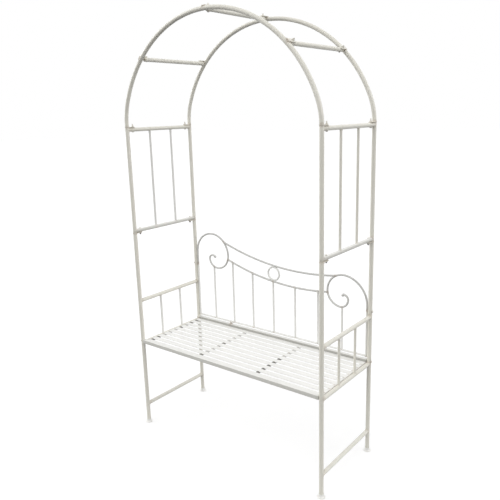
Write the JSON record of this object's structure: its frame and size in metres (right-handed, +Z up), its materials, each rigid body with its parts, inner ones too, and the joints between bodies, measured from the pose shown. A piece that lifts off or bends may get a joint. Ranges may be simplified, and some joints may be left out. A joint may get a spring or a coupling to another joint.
{
  "type": "arbour seat",
  "caption": "Two-seat garden bench with slatted seat and scrolled back, under a tubular steel arch with trellis sides.",
  "frame": {"origin": "middle of the footprint, on the ground", "axes": "+Z up, +X along the seat to the sitter's left and the picture's right, -Y out of the open front"},
  "size_m": [1.129, 0.4704, 2.0792],
  "materials": {
    "frame_paint": "satin cream powder coat with an aged, slightly rubbed look",
    "slats": "satin cream powder coat",
    "fasteners": "painted over, rubbed to bare metal at the corners",
    "foot_caps": "matt"
  },
  "bodies": {
    "root": {"arm_bar_left_back": "frame_paint", "arm_bar_left_front": "frame_paint", "arm_bar_right_back": "frame_paint", "arm_bar_right_front": "frame_paint", "arm_rail_left": "frame_paint", "arm_rail_right": "frame_paint", "back_balusters": "frame_paint", "back_rails_and_ring": "frame_paint", "back_stile_left": "frame_paint", "back_stile_right": "frame_paint", "crossbar_bolt_crown_back": "fasteners", "crossbar_bolt_crown_front": "fasteners", "crossbar_bolt_left_back": "fasteners", "crossbar_bolt_left_front": "fasteners", "crossbar_bolt_right_back": "fasteners", "crossbar_bolt_right_front": "fasteners", "crossbar_crown": "frame_paint", "crossbar_left": "frame_paint", "crossbar_right": "frame_paint", "foot_cap_back_left": "foot_caps", "foot_cap_back_right": "foot_caps", "foot_cap_front_left": "foot_caps", "foot_cap_front_right": "foot_caps", "hoop_back": "frame_paint", "hoop_front": "frame_paint", "leg_back_left": "frame_paint", "leg_back_right": "frame_paint", "leg_front_left": "frame_paint", "leg_front_right": "frame_paint", "low_stretcher_left": "frame_paint", "low_stretcher_right": "frame_paint", "lower_joint_bolt_back_left": "fasteners", "lower_joint_bolt_back_right": "fasteners", "lower_joint_bolt_front_left": "fasteners", "lower_joint_bolt_front_right": "fasteners", "seat_bolt_back_left": "fasteners", "seat_bolt_back_right": "fasteners", "seat_bolt_front_left": "fasteners", "seat_bolt_front_right": "fasteners", "seat_rail_back": "frame_paint", "seat_rail_front": "frame_paint", "seat_side_rail_left": "frame_paint", "seat_side_rail_right": "frame_paint", "seat_slat_grille": "slats", "trellis_bar_left_back": "frame_paint", "trellis_bar_left_front": "frame_paint", "trellis_bar_right_back": "frame_paint", "trellis_bar_right_front": "frame_paint", "trellis_bottom_rail_left": "frame_paint", "trellis_bottom_rail_right": "frame_paint", "trellis_post_back_left": "frame_paint", "trellis_post_back_right": "frame_paint", "trellis_post_front_left": "frame_paint", "trellis_post_front_right": "frame_paint", "trellis_top_rail_left": "frame_paint", "trellis_top_rail_right": "frame_paint", "upper_joint_bolt_back_left": "fasteners", "upper_joint_bolt_back_right": "fasteners", "upper_joint_bolt_front_left": "fasteners", "upper_joint_bolt_front_right": "fasteners"}
  },
  "joints": []
}
